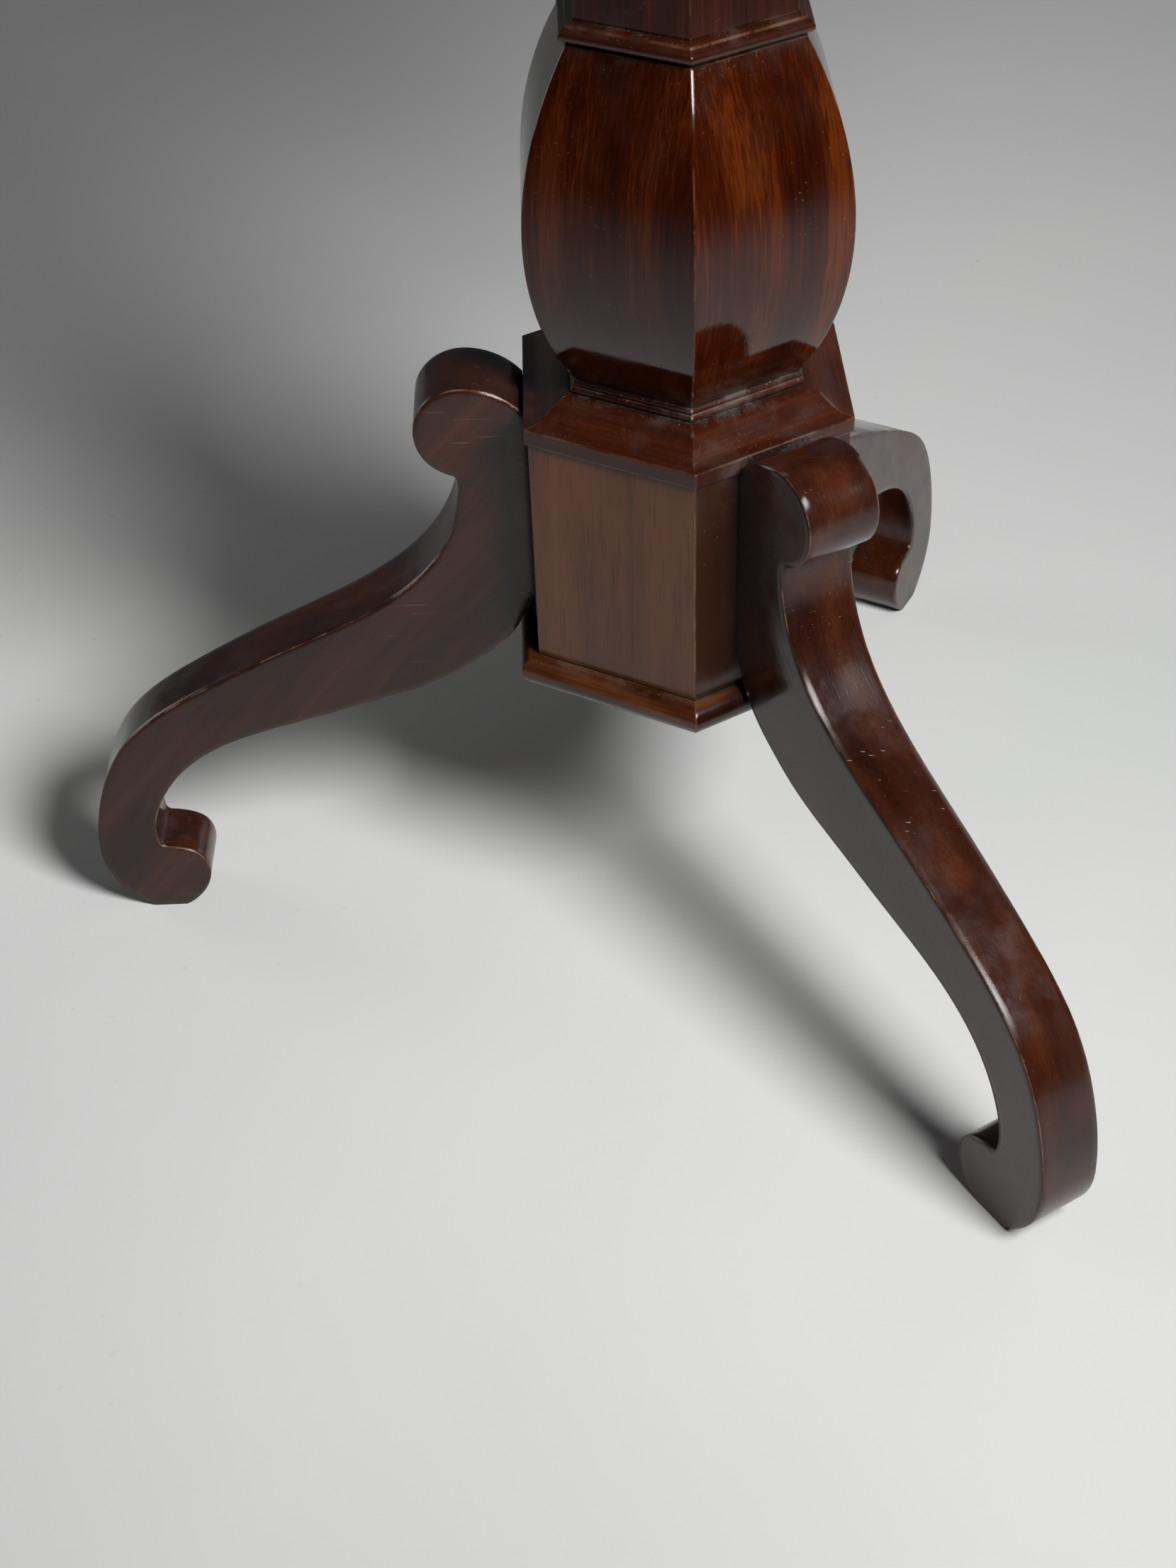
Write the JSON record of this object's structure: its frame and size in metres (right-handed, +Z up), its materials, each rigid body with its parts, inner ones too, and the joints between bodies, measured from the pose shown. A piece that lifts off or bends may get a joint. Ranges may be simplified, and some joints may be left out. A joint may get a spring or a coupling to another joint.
{
  "type": "tilt top table",
  "caption": "Round tilt top table: a six-sided baluster column on flat scroll legs carries a hinged top that a brass spring catch holds level.",
  "frame": {"origin": "on the floor, on the column's axis", "axes": "+Z up; the top hinges near the column's +X side and its free edge with the catch is on the -X side, over one leg; the hinge axis is along +Y"},
  "size_m": [0.6498, 0.65, 0.72],
  "materials": {
    "top_mahogany": "French polished",
    "column_mahogany": "French polished",
    "moulding_mahogany": "French polished, dusty in the hollows",
    "leg_mahogany": "French polished, worn at the edges",
    "plain_mahogany": "oiled, unpolished",
    "wedge_oak": "bare",
    "brass": "aged",
    "screw_steel": "darkened",
    "spring_steel": "bright wire"
  },
  "bodies": {
    "column": {"top_block": "plain_mahogany", "tenon_wedge": "wedge_oak", "keeper_plate": "brass", "keeper_screws": "brass", "shaft": "column_mahogany", "top_collar": "moulding_mahogany", "upper_collar": "moulding_mahogany", "vase": "column_mahogany", "bead_moulding": "moulding_mahogany", "lower_collar": "moulding_mahogany", "leg_block": "column_mahogany", "base_board": "plain_mahogany", "base_moulding": "moulding_mahogany", "base_screws": "screw_steel", "leg_left": "leg_mahogany", "leg_front": "leg_mahogany", "leg_back": "leg_mahogany"},
    "top": {"table_top": "top_mahogany", "bearer_front": "plain_mahogany", "bearer_back": "plain_mahogany", "bearer_screws": "screw_steel", "catch_plate": "brass", "catch_case": "brass", "catch_spring": "spring_steel", "catch_screws": "brass"},
    "catch_slide": {"catch_bolt": "brass", "catch_knob": "brass"}
  },
  "joints": [
    {"name": "top_tilt", "type": "hinge", "parent": "column", "child": "top", "pos_m": [0.062, 0, 0.685], "axis": [0, 1, 0], "range_deg": [0, 90]},
    {"name": "catch_pull", "type": "slide", "parent": "top", "child": "catch_slide", "axis": [-1, 0, 0], "range_m": [0, 0.008], "stiffness_N_per_m": 250, "springref_m": -0.006, "deforming": ["catch_spring"]}
  ]
}
